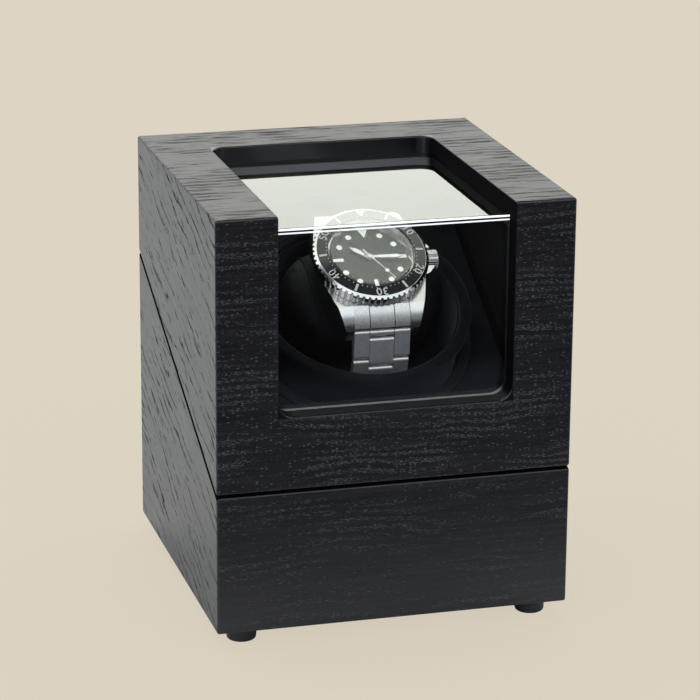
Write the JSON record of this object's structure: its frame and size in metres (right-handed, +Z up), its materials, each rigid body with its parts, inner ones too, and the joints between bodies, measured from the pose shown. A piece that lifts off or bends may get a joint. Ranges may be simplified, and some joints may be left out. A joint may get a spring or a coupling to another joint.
{
  "type": "watch winder box",
  "caption": "Square wooden watch winder box with a glazed hinged lid over a tilted, motor-turned cup that carries a wristwatch on a cushion.",
  "frame": {"origin": "on the table under the middle of the whole outline, which is the square box plus the mode knob behind it", "axes": "+Z up, -Y towards the front with the window, +X to the right seen from the front"},
  "size_m": [0.138, 0.1464, 0.1665],
  "materials": {
    "stained_oak": "black-stained open-grain oak veneer under satin lacquer, smooth lacquer in the window reveal",
    "painted_board": "black painted board",
    "velvet": "short black velvet",
    "leather": "soft black padded cover",
    "rubber": "matt black rubber",
    "zinc_steel": "bright zinc",
    "black_steel": "black lacquered steel",
    "gloss_black": "gloss black moulding",
    "clear_glass": "clear polished glass",
    "acetal": "white acetal",
    "bronze": "sintered bronze",
    "plate_plastic": "black moulded plastic",
    "motor_steel": "drawn steel can",
    "switch_plastic": "fine-textured black plastic",
    "circuit_board": "green solder mask",
    "wire_cover": "red and black insulation",
    "brushed_steel": "brushed stainless steel with polished edges",
    "black_ceramic": "glossy black ceramic with pale marks",
    "dial_black": "deep black lacquered dial",
    "movement_brass": "plated movement plate",
    "hand_steel": "polished steel with pale lume"
  },
  "bodies": {
    "base": {"base_front_panel": "stained_oak", "base_rear_panel": "stained_oak", "base_left_panel": "stained_oak", "base_right_panel": "stained_oak", "base_bottom_panel": "painted_board", "case_screws": "zinc_steel", "feet": "rubber", "foot_screws": "zinc_steel", "lid_bumpers": "rubber", "inner_collar": "painted_board", "deck_panel": "velvet", "deck_ring": "gloss_black", "hinge_leaves_base": "black_steel", "hinge_pins": "zinc_steel", "hinge_screws_base": "black_steel", "spindle_bush": "bronze", "drive_plate": "plate_plastic", "drive_pillars": "plate_plastic", "drive_screws": "zinc_steel", "gear_motor": "motor_steel", "control_plate": "gloss_black", "dc_jack": "switch_plastic", "rocker_housing": "switch_plastic", "mode_switch": "switch_plastic", "control_board": "circuit_board", "board_standoffs": "acetal", "wiring": "wire_cover"},
    "lid": {"lid_front_panel": "stained_oak", "lid_top_panel": "stained_oak", "lid_left_panel": "stained_oak", "lid_right_panel": "stained_oak", "lid_rear_panel": "stained_oak", "top_glass": "clear_glass", "front_glass": "clear_glass", "top_glass_bead": "painted_board", "front_glass_bead": "painted_board", "hinge_leaves_lid": "black_steel", "hinge_screws_lid": "black_steel"},
    "drum": {"drum_cup": "gloss_black", "cup_lining": "velvet", "drum_gear": "acetal", "gear_screws": "zinc_steel", "spindle": "zinc_steel", "spindle_clip": "zinc_steel", "watch_cushion": "leather", "watch_case": "brushed_steel", "crystal": "clear_glass", "dial": "dial_black", "watch_movement": "movement_brass", "bracelet_links": "brushed_steel", "clasp": "brushed_steel"},
    "pinion": {"motor_pinion": "acetal"},
    "knob": {"mode_knob": "switch_plastic"},
    "rocker": {"rocker_key": "switch_plastic"},
    "bezel": {"watch_bezel": "brushed_steel", "bezel_insert": "black_ceramic"},
    "crown": {"crown": "brushed_steel"},
    "hour_hand": {"hour_hand": "hand_steel"},
    "minute_hand": {"minute_hand": "hand_steel"},
    "second_hand": {"second_hand": "hand_steel"}
  },
  "joints": [
    {"name": "lid_hinge", "type": "hinge", "parent": "base", "child": "lid", "pos_m": [0, 0.06688, 0.11976], "axis": [-1, 0, 0], "range_deg": [0, 95]},
    {"name": "drum_spin", "type": "hinge", "parent": "base", "child": "drum", "pos_m": [0, -0.03465, 0.1375], "axis": [0, -0.5, 0.866], "continuous": true},
    {"name": "pinion_spin", "type": "hinge", "parent": "base", "child": "pinion", "pos_m": [0, -0.06713, 0.11875], "axis": [0, -0.5, 0.866], "continuous": true},
    {"name": "mode_turn", "type": "hinge", "parent": "base", "child": "knob", "pos_m": [0.018, 0.06485, 0.04], "axis": [0, -1, 0], "range_deg": [0, 270]},
    {"name": "power_rock", "type": "hinge", "parent": "base", "child": "rocker", "pos_m": [0, 0.06365, 0.04], "axis": [1, 0, 0], "range_deg": [0, 16]},
    {"name": "bezel_turn", "type": "hinge", "parent": "drum", "child": "bezel", "pos_m": [0, -0.03465, 0.1375], "axis": [0, -0.5779, 0.8161], "continuous": true},
    {"name": "crown_turn", "type": "hinge", "parent": "drum", "child": "crown", "pos_m": [0.0229, -0.0328, 0.13489], "axis": [1, 0, 0], "continuous": true},
    {"name": "minute_turn", "type": "hinge", "parent": "drum", "child": "minute_hand", "pos_m": [0, -0.03465, 0.1375], "axis": [0, 0.5779, -0.8161], "continuous": true},
    {"name": "hour_turn", "type": "hinge", "parent": "drum", "child": "hour_hand", "pos_m": [0, -0.03465, 0.1375], "axis": [0, 0.5779, -0.8161], "continuous": true},
    {"name": "second_turn", "type": "hinge", "parent": "drum", "child": "second_hand", "pos_m": [0, -0.03465, 0.1375], "axis": [0, 0.5779, -0.8161], "continuous": true}
  ],
  "couplings": [
    {"joint": "pinion_spin", "follows": "drum_spin", "ratio": -4},
    {"joint": "hour_turn", "follows": "minute_turn", "ratio": 0.083333}
  ]
}
